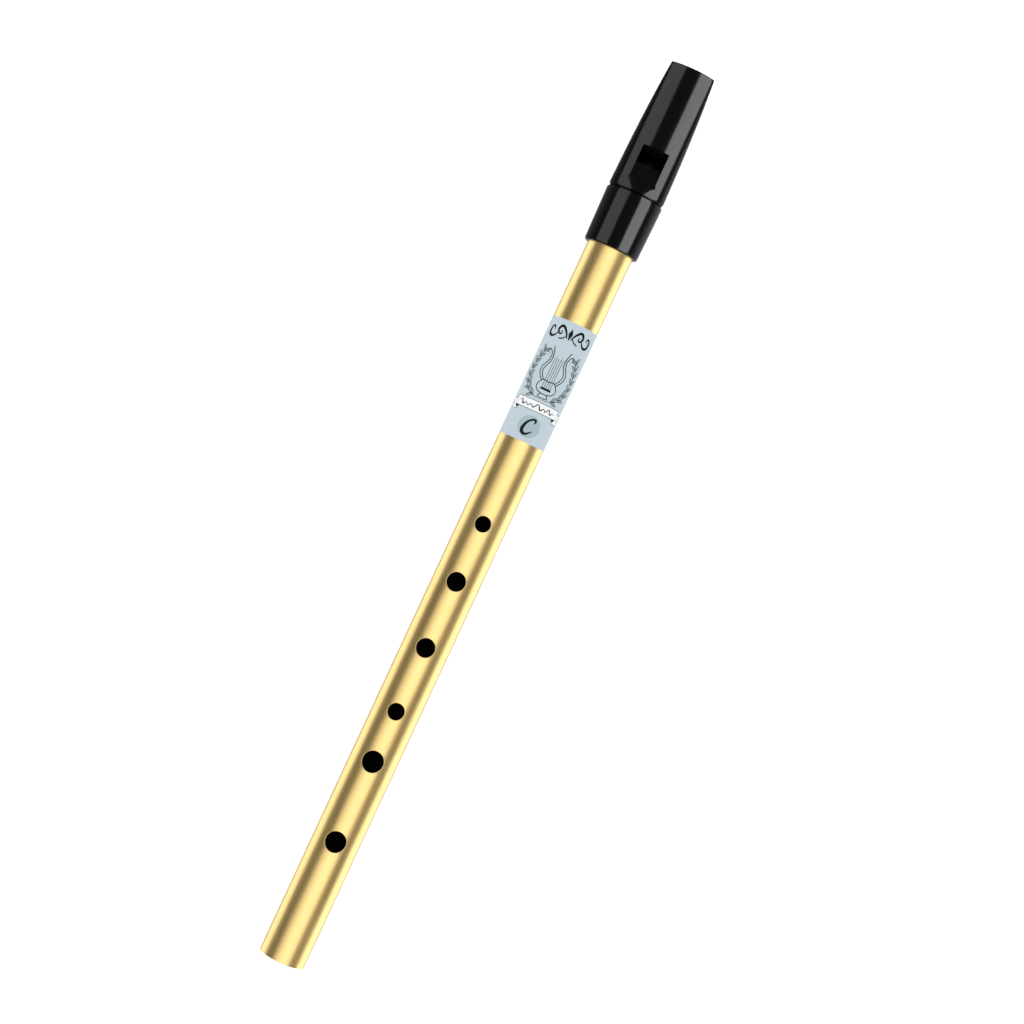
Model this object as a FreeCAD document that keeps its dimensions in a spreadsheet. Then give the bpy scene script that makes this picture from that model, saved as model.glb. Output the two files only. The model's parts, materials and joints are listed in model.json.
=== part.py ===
import FreeCAD, Part
import math
import os

import Sketcher

# A tin whistle in C: a drawn brass tube with six tone holes, a printed label round it, and
# a moulded mouthpiece made of an outer shell and the fipple block wedged inside its beak.
# Millimetres. Each body is drawn with its axis on X, from the open foot at x = 0 to the tip
# of the beak, and with the tone holes on the +Z side. The placements then centre the whistle
# on the origin and lift it until its widest ring stands on z = 0.

document = FreeCAD.newDocument("TinWhistle")

# ---------------------------------------------------------------- driving dimensions

DIMENSIONS = (
    ("overall_length", 335.0, "foot to the tip of the beak"),
    # brass tube
    ("tube_length", 288.8, "foot to the end inside the socket"),
    ("tube_diameter", 16.6, "outside"),
    ("tube_wall", 0.4, "drawn brass"),
    ("tube_edge", 0.1, "rounding of the sawn ends"),
    # label
    ("label_start", 195.7, "from the foot"),
    ("label_length", 44.0, "along the tube"),
    ("label_thickness", 0.1, "vinyl film"),
    ("label_wrap", 348.0, "degrees, the ends nearly meet at the back"),
    # collar and socket of the mouthpiece
    ("collar_start", 268.2, "lower edge of the collar, from the foot"),
    ("collar_end", 289.4, "where the beak grows out of the collar"),
    ("collar_radius", 9.85, "outside, at the lower edge"),
    ("collar_top_radius", 10.25, "outside, the widest ring"),
    ("collar_round", 0.8, "lower edge"),
    ("socket_radius", 8.35, "a snug slide on the tube"),
    ("socket_lead_in", 0.35, "chamfer at the socket's mouth"),
    ("socket_stop", 289.0, "shoulder that the tube's end meets"),
    ("ring_position", 288.6, "middle of the V groove under the beak"),
    ("ring_width", 1.0, "at the surface"),
    ("ring_depth", 0.45, "below the collar's widest ring"),
    # outside of the beak
    ("crown_level", 9.6, "top line above the axis"),
    ("crown_radius", 12.5, "flattened top, across"),
    ("crown_half_width", 7.6, "to where the sides turn down"),
    ("root_station", 289.0, "from the foot"),
    ("root_half_width", 10.1, "across"),
    ("root_bottom", -9.9, "lowest line"),
    ("root_bottom_radius", 9.0, "across"),
    ("throat_station", 302.0, "from the foot"),
    ("throat_half_width", 9.8, "across"),
    ("throat_bottom", -9.3, "lowest line"),
    ("throat_bottom_radius", 8.6, "across"),
    ("waist_station", 318.0, "from the foot"),
    ("waist_half_width", 9.15, "across"),
    ("waist_bottom", -4.7, "lowest line"),
    ("waist_bottom_radius", 12.0, "across"),
    ("tip_half_width", 8.0, "across"),
    ("tip_bottom", 0.6, "lowest line"),
    ("tip_bottom_radius", 13.0, "across"),
    ("tip_round", 0.35, "edge that meets the lips"),
    # voicing
    ("chamber_radius", 7.7, "a little narrower than the tube inside"),
    ("chamber_roof", 5.95, "flat above the air chamber, under the ramp"),
    ("window_width", 9.6, "across"),
    ("blade_position", 298.9, "sharp edge that splits the air"),
    ("blade_level", 6.15, "top of the blade's edge"),
    ("windway_exit", 304.9, "upper edge of the window"),
    ("ramp_end", 290.2, "where the ramp runs out on the crown"),
    ("ramp_radius", 33.0, "hollow of the ramp"),
    ("exit_roof", 6.7, "windway at the window"),
    ("tip_roof", 7.0, "windway at the tip"),
    ("tip_windway_width", 10.4, "across"),
    # fipple block
    ("exit_floor", 5.7, "flat top of the block at the window"),
    ("tip_floor", 5.6, "flat top of the block at the tip"),
    ("block_tip_radius", 5.7, "underside of the block at the tip"),
    ("block_tip_centre", 8.1, "height of that round's centre"),
    ("core_end", 320.0, "bottom of the moulded hollow"),
    ("core_mouth_radius", 6.2, "hollow at the air chamber"),
    ("core_mouth_roof", 4.4, "hollow at the air chamber"),
    ("core_end_radius", 3.6, "hollow at its bottom"),
    ("core_end_centre", 2.0, "height of that round's centre"),
    ("core_end_roof", 4.3, "hollow at its bottom"),
)

# distance from the foot and diameter of each tone hole, lowest note first
TONE_HOLES = ((45.3, 7.4), (75.4, 7.6), (94.2, 5.9), (118.1, 6.7), (142.9, 6.7), (164.5, 5.6))

sheet = document.addObject("Spreadsheet::Sheet", "Dimensions")


def enter(row, alias, value, note):
    """Write one named number into the sheet."""
    sheet.set(f"A{row}", alias.replace("_", " "))
    sheet.set(f"B{row}", str(value))
    sheet.set(f"C{row}", note)
    sheet.setAlias(f"B{row}", alias)


rows = list(DIMENSIONS)
for number, (position, diameter) in enumerate(TONE_HOLES, start=1):
    rows.append((f"tone_position_{number}", position, "from the foot"))
    rows.append((f"tone_diameter_{number}", diameter, "punched hole"))
for row, (alias, value, note) in enumerate(rows, start=1):
    enter(row, alias, value, note)
document.recompute()


def size(alias):
    """The number that the sheet holds under this name."""
    return float(sheet.get(alias))


def named(formula):
    """A formula in plain aliases, as an expression that reads the sheet."""
    words = formula.replace("(", " ( ").replace(")", " ) ").split()
    return " ".join(f"Dimensions.{word}" if word[0].isalpha() else word for word in words)


def worked_out(formula):
    """The value of such a formula, to draw a sketch close to its final shape."""
    return float(sheet.evalExpression(named(formula).replace("Dimensions.", "")))


# ---------------------------------------------------------------- sketching

START, END, CENTRE = 1, 2, 3          # points of a sketched line or arc
ORIGIN = (-1, 1)
ACROSS_AXIS, UP_AXIS = -1, -2         # the sketch's own horizontal and vertical axis


def new_body(name):
    body = document.addObject("PartDesign::Body", name)
    body.Label = name
    body.setExpression("Placement.Base.x", "-Dimensions.overall_length / 2")
    body.setExpression("Placement.Base.z", "Dimensions.collar_top_radius")
    return body


def new_sketch(body, name, plane, station=None):
    """A sketch on one of the body's own origin planes, or beside it at a named distance."""
    sketch = body.newObject("Sketcher::SketchObject", name)
    support = next(item for item in body.Origin.OriginFeatures if item.Role == plane)
    sketch.AttachmentSupport = [(support, "")]
    sketch.MapMode = "FlatFace"
    if station:
        sketch.setExpression("AttachmentOffset.Base.z", named(station))
    return sketch


def drive(sketch, kind, *where, by):
    """A dimension of the sketch whose value comes from the sheet."""
    index = sketch.addConstraint(Sketcher.Constraint(kind, *where, worked_out(by)))
    sketch.setExpression(f"Constraints[{index}]", named(by))


def tie(sketch, kind, *where):
    sketch.addConstraint(Sketcher.Constraint(kind, *where))


def draw_rectangle(sketch, left, right, low, high):
    """A rectangle between two named sides and two named levels."""
    x0, x1, y0, y1 = (worked_out(side) for side in (left, right, low, high))
    corners = [FreeCAD.Vector(x, y, 0) for x, y in ((x0, y0), (x1, y0), (x1, y1), (x0, y1))]
    lines = [
        sketch.addGeometry(Part.LineSegment(corner, corners[(turn + 1) % 4]), False)
        for turn, corner in enumerate(corners)
    ]
    for turn, line in enumerate(lines):
        tie(sketch, "Coincident", line, END, lines[(turn + 1) % 4], START)
        tie(sketch, "Vertical" if turn % 2 else "Horizontal", line)
    drive(sketch, "DistanceX", *ORIGIN, lines[0], START, by=left)
    drive(sketch, "DistanceX", *ORIGIN, lines[0], END, by=right)
    drive(sketch, "DistanceY", *ORIGIN, lines[0], START, by=low)
    drive(sketch, "DistanceY", *ORIGIN, lines[2], START, by=high)
    return lines


def draw_centred_rectangle(sketch, width, near, far, middle):
    """A rectangle of a named width, evenly about one axis, between two named places along it."""
    half, begin, stop = worked_out(width) / 2, worked_out(near), worked_out(far)
    places = [(half, begin), (half, stop), (-half, stop), (-half, begin)]
    side_by_side, lengthwise = ("DistanceX", "DistanceY")
    if middle == ACROSS_AXIS:
        places = [(y, x) for x, y in places]
        side_by_side, lengthwise = lengthwise, side_by_side
    corners = [FreeCAD.Vector(x, y, 0) for x, y in places]
    lines = [
        sketch.addGeometry(Part.LineSegment(corner, corners[(turn + 1) % 4]), False)
        for turn, corner in enumerate(corners)
    ]
    for turn, line in enumerate(lines):
        tie(sketch, "Coincident", line, END, lines[(turn + 1) % 4], START)
    tie(sketch, "Symmetric", lines[0], START, lines[2], END, middle)
    tie(sketch, "Symmetric", lines[0], END, lines[2], START, middle)
    tie(sketch, "Vertical" if middle == UP_AXIS else "Horizontal", lines[0])
    drive(sketch, side_by_side, lines[2], END, lines[0], START, by=width)
    drive(sketch, lengthwise, *ORIGIN, lines[0], START, by=near)
    drive(sketch, lengthwise, *ORIGIN, lines[0], END, by=far)


def draw_flat_topped_round(sketch, radius, centre, roof):
    """A circle about a point on the middle line, cut off level at the roof."""
    r, middle, level = worked_out(radius), worked_out(centre), worked_out(roof)
    angle = math.asin((level - middle) / r)
    half = r * math.cos(angle)
    circle = Part.Circle(FreeCAD.Vector(0, middle, 0), FreeCAD.Vector(0, 0, 1), r)
    round_side = sketch.addGeometry(
        Part.ArcOfCircle(circle, math.pi - angle, 2 * math.pi + angle), False
    )
    flat = sketch.addGeometry(
        Part.LineSegment(FreeCAD.Vector(half, level, 0), FreeCAD.Vector(-half, level, 0)), False
    )
    tie(sketch, "Coincident", round_side, END, flat, START)
    tie(sketch, "Coincident", flat, END, round_side, START)
    tie(sketch, "Horizontal", flat)
    tie(sketch, "PointOnObject", round_side, CENTRE, UP_AXIS)
    drive(sketch, "Radius", round_side, by=radius)
    drive(sketch, "DistanceY", *ORIGIN, round_side, CENTRE, by=centre)
    drive(sketch, "DistanceY", *ORIGIN, flat, START, by=roof)


def draw_beak_section(sketch, half_width, bottom, bottom_radius):
    """The beak cut across: a flattened crown, two shoulders, two cheeks and a rounded underside."""
    width, low, base_r = (worked_out(name) for name in (half_width, bottom, bottom_radius))
    crown_r, crown_half = size("crown_radius"), size("crown_half_width")
    crown_centre = size("crown_level") - crown_r
    sine = crown_half / crown_r
    cosine = math.sqrt(1 - sine * sine)
    shoulder_r = (width - crown_half) / (1 - sine)
    widest = crown_centre + (crown_r - shoulder_r) * cosine
    base_centre = low + base_r
    rise = base_centre - widest
    cheek_r = (base_r**2 - width**2 - rise**2) / (2 * (base_r - width))
    slant = math.atan2(-abs(rise), abs(width - cheek_r))

    def arc(x, y, radius, begin, end):
        circle = Part.Circle(FreeCAD.Vector(x, y, 0), FreeCAD.Vector(0, 0, 1), radius)
        return sketch.addGeometry(Part.ArcOfCircle(circle, begin, end), False)

    tilt = math.asin(sine)
    quarter, half_turn = math.pi / 2, math.pi
    shoulder = arc(width - shoulder_r, widest, shoulder_r, 0, quarter - tilt)
    crown = arc(0, crown_centre, crown_r, quarter - tilt, quarter + tilt)
    far_shoulder = arc(shoulder_r - width, widest, shoulder_r, quarter + tilt, half_turn)
    far_cheek = arc(cheek_r - width, widest, cheek_r, half_turn, half_turn - slant)
    base = arc(0, base_centre, base_r, half_turn - slant, 2 * half_turn + slant)
    cheek = arc(width - cheek_r, widest, cheek_r, slant, 0)

    tie(sketch, "Tangent", shoulder, END, crown, START)
    tie(sketch, "Tangent", cheek, END, shoulder, START)
    tie(sketch, "Tangent", base, END, cheek, START)
    tie(sketch, "PointOnObject", crown, CENTRE, UP_AXIS)
    tie(sketch, "PointOnObject", base, CENTRE, UP_AXIS)
    tie(sketch, "Coincident", crown, END, far_shoulder, START)
    tie(sketch, "Coincident", far_shoulder, END, far_cheek, START)
    tie(sketch, "Coincident", far_cheek, END, base, START)
    tie(sketch, "Horizontal", crown, START, crown, END)
    tie(sketch, "Horizontal", base, START, base, END)
    tie(sketch, "Symmetric", shoulder, START, far_shoulder, END, UP_AXIS)
    tie(sketch, "Equal", shoulder, far_shoulder)
    tie(sketch, "Equal", cheek, far_cheek)
    tie(sketch, "Horizontal", shoulder, CENTRE, shoulder, START)
    drive(sketch, "Radius", crown, by="crown_radius")
    drive(sketch, "DistanceY", crown, CENTRE, *ORIGIN, by="crown_radius - crown_level")
    drive(sketch, "DistanceX", *ORIGIN, crown, START, by="crown_half_width")
    drive(sketch, "DistanceX", *ORIGIN, shoulder, START, by=half_width)
    drive(sketch, "Radius", base, by=bottom_radius)
    drive(sketch, "DistanceY", *ORIGIN, base, CENTRE, by=f"{bottom} + {bottom_radius}")


def draw_outline(sketch, points):
    """Straight sides through points given as pairs of formulas, closed at the first one."""
    places = [FreeCAD.Vector(worked_out(x), worked_out(y), 0) for x, y in points]
    sides = [
        sketch.addGeometry(Part.LineSegment(place, places[(turn + 1) % len(places)]), False)
        for turn, place in enumerate(places)
    ]
    for turn, side in enumerate(sides):
        tie(sketch, "Coincident", side, END, sides[(turn + 1) % len(sides)], START)
    for side, (x, y) in zip(sides, points):
        drive(sketch, "DistanceX", *ORIGIN, side, START, by=x)
        drive(sketch, "DistanceY", *ORIGIN, side, START, by=y)


# ---------------------------------------------------------------- features

SAME_PLACE = 1e-4                     # millimetres, to tell which edge is which


def spin(body, kind, name, sketch, angle=None):
    """Turn a sketch round the whistle's axis, to add or to cut."""
    feature = body.newObject(f"PartDesign::{kind}", name)
    feature.Profile = sketch
    feature.ReferenceAxis = (sketch, ["H_Axis"])
    if angle:
        feature.Midplane = True
        feature.setExpression("Angle", named(angle))
    else:
        feature.Angle = 360.0
    return feature


def loft(body, kind, name, sketches):
    feature = body.newObject(f"PartDesign::{kind}", name)
    feature.Profile = sketches[0]
    feature.Sections = sketches[1:]
    return feature


def cut_upward(body, name, sketch):
    """Cut from the sketch up through everything above it."""
    feature = body.newObject("PartDesign::Pocket", name)
    feature.Profile = sketch
    feature.Type = "ThroughAll"
    feature.Reversed = True
    return feature


def circles_at(feature, radius, position):
    """Names of a feature's circular edges of one radius at one distance along the axis."""
    document.recompute()
    found = []
    for index, edge in enumerate(feature.Shape.Edges, start=1):
        curve = edge.Curve
        if isinstance(curve, Part.Circle):
            same_radius = abs(curve.Radius - radius) < SAME_PLACE
            if same_radius and abs(edge.CenterOfMass.x - position) < SAME_PLACE:
                found.append(f"Edge{index}")
    return found


def round_edges(body, name, base, edges, radius):
    feature = body.newObject("PartDesign::Fillet", name)
    feature.Base = (base, edges)
    feature.setExpression("Radius", named(radius))
    return feature


# ---------------------------------------------------------------- brass tube

tube = new_body("tube")
wall_sketch = new_sketch(tube, "WallSketch", "XZ_Plane")
draw_rectangle(
    wall_sketch,
    "0",
    "tube_length",
    "tube_diameter / 2 - tube_wall",
    "tube_diameter / 2",
)
wall = spin(tube, "Revolution", "DrawnWall", wall_sketch)
sawn_ends = []
for position in (0.0, size("tube_length")):
    for radius in (size("tube_diameter") / 2, size("tube_diameter") / 2 - size("tube_wall")):
        sawn_ends += circles_at(wall, radius, position)
deburred = round_edges(tube, "DeburredEnds", wall, sawn_ends, "tube_edge")

holes_sketch = new_sketch(tube, "ToneHoleSketch", "XY_Plane")
for number, (position, diameter) in enumerate(TONE_HOLES, start=1):
    circle = Part.Circle(FreeCAD.Vector(position, 0, 0), FreeCAD.Vector(0, 0, 1), diameter / 2)
    hole = holes_sketch.addGeometry(circle, False)
    tie(holes_sketch, "PointOnObject", hole, CENTRE, ACROSS_AXIS)
    drive(holes_sketch, "DistanceX", *ORIGIN, hole, CENTRE, by=f"tone_position_{number}")
    drive(holes_sketch, "Diameter", hole, by=f"tone_diameter_{number}")
cut_upward(tube, "ToneHoles", holes_sketch)

# ---------------------------------------------------------------- label

label = new_body("label")
film_sketch = new_sketch(label, "FilmSketch", "XZ_Plane")
draw_rectangle(
    film_sketch,
    "label_start",
    "label_start + label_length",
    "tube_diameter / 2",
    "tube_diameter / 2 + label_thickness",
)
spin(label, "Revolution", "WrappedFilm", film_sketch, angle="label_wrap")

# ---------------------------------------------------------------- mouthpiece shell

shell = new_body("mouthpiece_shell")

collar_sketch = new_sketch(shell, "CollarSketch", "XZ_Plane")
draw_outline(
    collar_sketch,
    (
        ("collar_start", "0"),
        ("collar_end", "0"),
        ("collar_end", "collar_top_radius"),
        ("ring_position - ring_width / 2", "collar_top_radius"),
        ("collar_start", "collar_radius"),
    ),
)
collar = spin(shell, "Revolution", "Collar", collar_sketch)
lower_edge = circles_at(collar, size("collar_radius"), size("collar_start"))
round_edges(shell, "CollarRound", collar, lower_edge, "collar_round")

stations = []
for place, station in (
    ("root", "root_station"),
    ("throat", "throat_station"),
    ("waist", "waist_station"),
    ("tip", "overall_length"),
):
    section = new_sketch(shell, f"{place.title()}Section", "YZ_Plane", station)
    draw_beak_section(
        section, f"{place}_half_width", f"{place}_bottom", f"{place}_bottom_radius"
    )
    stations.append(section)
loft(shell, "AdditiveLoft", "Beak", stations)

ring_sketch = new_sketch(shell, "RingSketch", "XZ_Plane")
draw_outline(
    ring_sketch,
    (
        ("ring_position - ring_width / 2", "collar_top_radius"),
        ("ring_position", "collar_top_radius - ring_depth"),
        ("ring_position + ring_width / 2", "collar_top_radius"),
        ("ring_position + ring_width / 2", "collar_top_radius + ring_depth"),
        ("ring_position - ring_width / 2", "collar_top_radius + ring_depth"),
    ),
)
spin(shell, "Groove", "Ring", ring_sketch)

socket_sketch = new_sketch(shell, "SocketSketch", "XZ_Plane")
draw_outline(
    socket_sketch,
    (
        ("collar_start", "0"),
        ("socket_stop", "0"),
        ("socket_stop", "socket_radius"),
        ("collar_start + socket_lead_in", "socket_radius"),
        ("collar_start", "socket_radius + socket_lead_in"),
    ),
)
spin(shell, "Groove", "Socket", socket_sketch)

chamber_ends = []
for name, station in (("ChamberFoot", "socket_stop"), ("ChamberHead", "windway_exit")):
    section = new_sketch(shell, name, "YZ_Plane", station)
    draw_flat_topped_round(section, "chamber_radius", "0", "chamber_roof")
    chamber_ends.append(section)
loft(shell, "SubtractiveLoft", "AirChamber", chamber_ends)


def block_sections(body):
    """The block's own outline at the window and at the tip, which is also its seat's."""
    at_window = new_sketch(body, "BlockAtWindow", "YZ_Plane", "windway_exit")
    draw_flat_topped_round(at_window, "chamber_radius", "0", "exit_floor")
    at_tip = new_sketch(body, "BlockAtTip", "YZ_Plane", "overall_length")
    draw_flat_topped_round(at_tip, "block_tip_radius", "block_tip_centre", "tip_floor")
    return [at_window, at_tip]


loft(shell, "SubtractiveLoft", "BlockSeat", block_sections(shell))

windway_ends = []
for name, station, width, floor, roof in (
    ("WindwayExit", "windway_exit", "window_width", "exit_floor", "exit_roof"),
    ("WindwayEntry", "overall_length", "tip_windway_width", "tip_floor", "tip_roof"),
):
    section = new_sketch(shell, name, "YZ_Plane", station)
    draw_centred_rectangle(section, width, floor, roof, UP_AXIS)
    windway_ends.append(section)
loft(shell, "SubtractiveLoft", "Windway", windway_ends)

window_sketch = new_sketch(shell, "WindowSketch", "XY_Plane")
draw_centred_rectangle(
    window_sketch, "window_width", "blade_position", "windway_exit", ACROSS_AXIS
)
cut_upward(shell, "Window", window_sketch)

# the ramp is a hollow slope from the blade up to the crown, open above
ramp_sketch = new_sketch(shell, "RampSketch", "XZ_Plane")
blade = FreeCAD.Vector(size("blade_position"), size("blade_level"), 0)
run_out = FreeCAD.Vector(size("ramp_end"), size("crown_level"), 0)
chord = run_out - blade
bulge = math.sqrt(size("ramp_radius") ** 2 - (chord.Length / 2) ** 2)
across = FreeCAD.Vector(chord.y, -chord.x, 0).normalize()
hub = blade + chord * 0.5 + across * bulge
first = math.atan2(run_out.y - hub.y, run_out.x - hub.x)
last = math.atan2(blade.y - hub.y, blade.x - hub.x)
circle = Part.Circle(hub, FreeCAD.Vector(0, 0, 1), size("ramp_radius"))
slope = ramp_sketch.addGeometry(Part.ArcOfCircle(circle, first, last), False)
top = size("collar_top_radius") + size("ring_depth")
corners = (blade, FreeCAD.Vector(blade.x, top, 0), FreeCAD.Vector(run_out.x, top, 0), run_out)
sides = [
    ramp_sketch.addGeometry(Part.LineSegment(begin, stop), False)
    for begin, stop in zip(corners, corners[1:])
]
tie(ramp_sketch, "Coincident", slope, END, sides[0], START)
tie(ramp_sketch, "Coincident", sides[0], END, sides[1], START)
tie(ramp_sketch, "Coincident", sides[1], END, sides[2], START)
tie(ramp_sketch, "Coincident", sides[2], END, slope, START)
tie(ramp_sketch, "Vertical", sides[0])
tie(ramp_sketch, "Horizontal", sides[1])
tie(ramp_sketch, "Vertical", sides[2])
drive(ramp_sketch, "DistanceX", *ORIGIN, sides[0], START, by="blade_position")
drive(ramp_sketch, "DistanceY", *ORIGIN, sides[0], START, by="blade_level")
drive(ramp_sketch, "DistanceX", *ORIGIN, sides[2], END, by="ramp_end")
drive(ramp_sketch, "DistanceY", *ORIGIN, sides[2], END, by="crown_level")
drive(ramp_sketch, "DistanceY", *ORIGIN, sides[1], START, by="collar_top_radius + ring_depth")
drive(ramp_sketch, "Radius", slope, by="ramp_radius")
ramp = shell.newObject("PartDesign::Pocket", "Ramp")
ramp.Profile = ramp_sketch
ramp.SideType = "Symmetric"
ramp.setExpression("Length", named("window_width"))

document.recompute()
tip_edges = []
for face in ramp.Shape.Faces:
    if abs(face.CenterOfMass.x - size("overall_length")) < SAME_PLACE:
        for index, edge in enumerate(ramp.Shape.Edges, start=1):
            if any(edge.isSame(side) for side in face.OuterWire.Edges):
                tip_edges.append(f"Edge{index}")
round_edges(shell, "TipRound", ramp, tip_edges, "tip_round")

# ---------------------------------------------------------------- fipple block

block = new_body("fipple_block")
loft(block, "AdditiveLoft", "Block", block_sections(block))

core_mouth = new_sketch(block, "CoreMouth", "YZ_Plane", "windway_exit")
draw_flat_topped_round(core_mouth, "core_mouth_radius", "0", "core_mouth_roof")
core_bottom = new_sketch(block, "CoreBottom", "YZ_Plane", "core_end")
draw_flat_topped_round(core_bottom, "core_end_radius", "core_end_centre", "core_end_roof")
loft(block, "SubtractiveLoft", "Core", [core_mouth, core_bottom])

# ---------------------------------------------------------------- checks and files

document.recompute()

CUTS = ("PartDesign::Pocket", "PartDesign::Groove", "PartDesign::SubtractiveLoft")
LEAST_CUT = 0.1                       # cubic millimetres that any cut takes away
for item in document.Objects:
    if any(word in state for state in item.State for word in ("Invalid", "Error")):
        raise RuntimeError(f"{item.Name} failed: {item.State}")
    if item.TypeId in CUTS and item.Shape.Volume > item.BaseFeature.Shape.Volume - LEAST_CUT:
        raise RuntimeError(f"{item.Name} cuts nothing")

os.makedirs("parts", exist_ok=True)
for body in (tube, label, shell, block):
    shape = body.Shape
    if shape.isNull() or not shape.isValid() or len(shape.Solids) != 1:
        raise RuntimeError(f"{body.Label} is not one sound solid")
    shape.exportStep(f"parts/{body.Label}.step")
    low, high = shape.BoundBox.ZMin, shape.BoundBox.ZMax
    print(f"{body.Label}: {shape.Volume:.0f} mm3, z {low:.2f} to {high:.2f}")
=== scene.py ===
import json
import math

import bmesh
import bpy
from mathutils import Matrix, Vector

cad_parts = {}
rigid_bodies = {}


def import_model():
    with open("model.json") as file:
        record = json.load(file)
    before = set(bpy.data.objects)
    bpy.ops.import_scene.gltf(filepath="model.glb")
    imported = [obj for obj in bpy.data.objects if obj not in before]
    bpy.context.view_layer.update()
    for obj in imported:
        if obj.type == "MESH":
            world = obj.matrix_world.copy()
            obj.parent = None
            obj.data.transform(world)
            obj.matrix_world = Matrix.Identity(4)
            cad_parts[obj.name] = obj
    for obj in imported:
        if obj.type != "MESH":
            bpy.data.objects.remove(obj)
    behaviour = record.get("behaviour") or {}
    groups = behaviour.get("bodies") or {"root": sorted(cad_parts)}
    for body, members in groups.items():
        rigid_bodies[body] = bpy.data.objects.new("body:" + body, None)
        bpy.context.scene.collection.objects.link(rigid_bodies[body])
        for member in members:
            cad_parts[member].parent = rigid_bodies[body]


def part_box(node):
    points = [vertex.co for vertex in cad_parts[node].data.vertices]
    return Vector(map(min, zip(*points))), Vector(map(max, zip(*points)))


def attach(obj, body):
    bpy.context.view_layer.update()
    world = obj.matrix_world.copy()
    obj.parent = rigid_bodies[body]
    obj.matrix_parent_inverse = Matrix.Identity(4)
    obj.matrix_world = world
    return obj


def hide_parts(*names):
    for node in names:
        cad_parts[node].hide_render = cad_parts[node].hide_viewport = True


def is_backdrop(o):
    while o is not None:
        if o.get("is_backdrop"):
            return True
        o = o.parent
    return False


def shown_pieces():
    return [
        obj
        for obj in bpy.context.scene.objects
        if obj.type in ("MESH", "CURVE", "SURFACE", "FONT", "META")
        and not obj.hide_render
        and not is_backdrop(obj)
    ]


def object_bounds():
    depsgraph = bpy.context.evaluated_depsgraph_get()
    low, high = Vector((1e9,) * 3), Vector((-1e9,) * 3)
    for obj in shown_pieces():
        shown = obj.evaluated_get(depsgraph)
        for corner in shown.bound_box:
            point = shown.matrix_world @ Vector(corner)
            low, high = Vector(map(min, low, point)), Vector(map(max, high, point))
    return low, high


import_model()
cad_low, cad_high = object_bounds()

# ------------------------------------------------------------------ brass tube
# One length of hard-drawn brass tube, sawn square at both ends and lightly deburred.
# The six tone holes are punched through the front wall, so their rims are a little soft.
# It is lacquered, and the fine lines left by the drawing die run along it.

MM = 0.001
tube_low, tube_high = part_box("tube")
foot_x = tube_low.x
axis_z = (tube_low.z + tube_high.z) / 2
tube_radius = (tube_high.z - tube_low.z) / 2
tube_wall = 0.4 * MM
tube_columns = 72
longest_row = 3.0                     # millimetres of tube between two rings, away from the holes
hole_rows = 18                        # rows of faces along the square round each hole
hole_patch = 6.0 * MM                 # half the side of that square
hole_reach = math.radians(45)         # and how far it goes round the tube on each side
hole_cuts = 5                         # rings of faces between a hole's rim and its square
rim_softness = 0.16 * MM
corner_angle = math.radians(35)       # a sharper turn than this is an edge, not a curve
tone_holes = ((45.3, 7.4), (75.4, 7.6), (94.2, 5.9), (118.1, 6.7), (142.9, 6.7), (164.5, 5.6))


def linear(code):
    """An sRGB hex colour as the linear colour that a shader takes."""
    parts = [int(code[place:place + 2], 16) / 255 for place in (1, 3, 5)]
    return (*(p / 12.92 if p < 0.04045 else ((p + 0.055) / 1.055) ** 2.4 for p in parts), 1.0)


def add_node(tree, kind, inputs, settings=()):
    """Add a node, set its properties, and give its inputs values or other nodes' outputs."""
    node = tree.nodes.new(kind)
    for name, value in dict(settings).items():
        setattr(node, name, value)
    for name, value in inputs.items():
        if isinstance(value, bpy.types.NodeSocket):
            tree.links.new(value, node.inputs[name])
        else:
            node.inputs[name].default_value = value
    return node


def new_finish(name, **values):
    """A material with its shader's plain values set, the node tree, and the shader."""
    material = bpy.data.materials.new(name)
    material.use_nodes = True
    shader = material.node_tree.nodes["Principled BSDF"]
    for socket, value in values.items():
        shader.inputs[socket.replace("_", " ")].default_value = value
    return material, material.node_tree, shader


def circle_round_axis(bm, x, radius, segments, level=0.0):
    """A circle of edges across the whistle, centred on its axis or at a level above it."""
    upright = Matrix.Rotation(math.radians(90), 4, "Y")
    place = Matrix.Translation((foot_x + x, 0, axis_z + level)) @ upright
    return bmesh.ops.create_circle(bm, segments=segments, radius=radius, matrix=place)["verts"]


def edges_of(ring):
    """The edges that run round one ring of vertices."""
    chosen = set(ring)
    return list({
        edge for vert in ring for edge in vert.link_edges if edge.other_vert(vert) in chosen
    })


def skin(bm, rings):
    """Join each ring of vertices to the next with faces."""
    for near, far in zip(rings, rings[1:]):
        bmesh.ops.bridge_loops(bm, edges=edges_of(near) + edges_of(far))


def punch(bm, x, diameter):
    """Clear a square of faces on the tube's front and fill it back in round a hole."""
    def under_punch(face):
        middle = face.calc_center_median()
        turned = math.atan2(abs(middle.y), middle.z - axis_z)
        return abs(middle.x - x) < hole_patch and turned < hole_reach

    cleared = [face for face in bm.faces if under_punch(face)]
    counted = [edge for face in cleared for edge in face.edges]
    outline = [edge for edge in set(counted) if counted.count(edge) == 1]
    bmesh.ops.delete(bm, geom=cleared, context="FACES")
    place = Matrix.Translation((x, 0, 0))
    made = bmesh.ops.create_circle(bm, segments=len(outline), radius=diameter / 2, matrix=place)
    rim = edges_of(made["verts"])
    for vert in made["verts"]:
        vert.co.z = axis_z + math.sqrt(tube_radius**2 - vert.co.y**2)
    bridged = bmesh.ops.bridge_loops(bm, edges=outline + rim)
    spokes = [edge for edge in bridged["edges"] if edge not in rim and edge not in outline]
    bmesh.ops.subdivide_edges(bm, edges=spokes, cuts=hole_cuts, use_grid_fill=True)


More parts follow.
